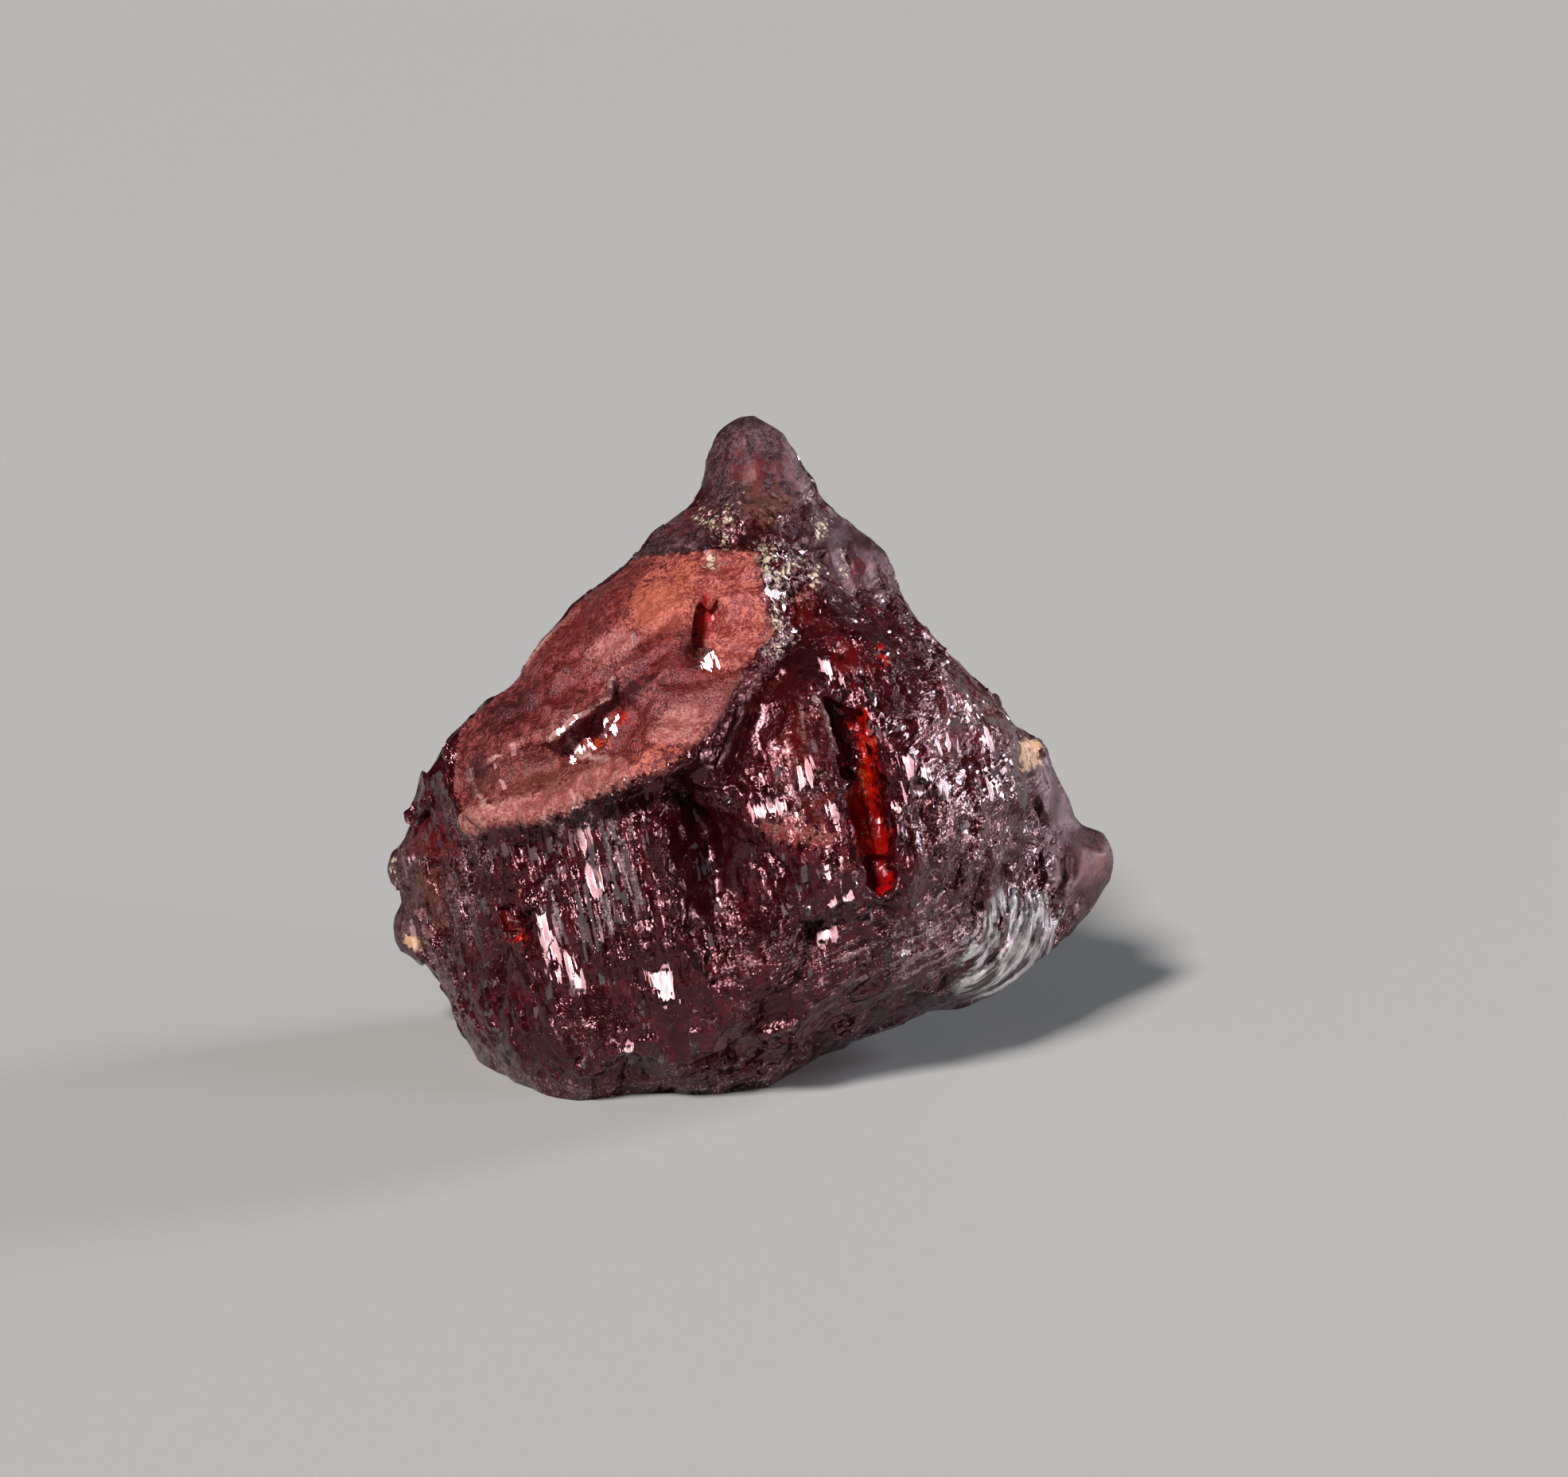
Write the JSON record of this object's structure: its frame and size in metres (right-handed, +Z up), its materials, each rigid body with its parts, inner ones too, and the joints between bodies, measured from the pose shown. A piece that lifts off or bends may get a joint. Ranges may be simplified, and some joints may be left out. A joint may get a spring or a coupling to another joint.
{
  "type": "garnet crystal",
  "caption": "Rough dark red garnet crystal with etched ledges, a salmon fracture face and a smooth horn, resting on its flat foot.",
  "frame": {"origin": "middle of the bounding box's base, on the surface that the crystal rests on", "axes": "+X across the crystal towards its wing and knob, +Y away from its front, +Z up towards its horn"},
  "size_m": [0.02, 0.0136, 0.0163],
  "materials": {
    "garnet": "glassy, etched and partly frosted"
  },
  "bodies": {
    "root": {"garnet_crystal": "garnet"}
  },
  "joints": []
}
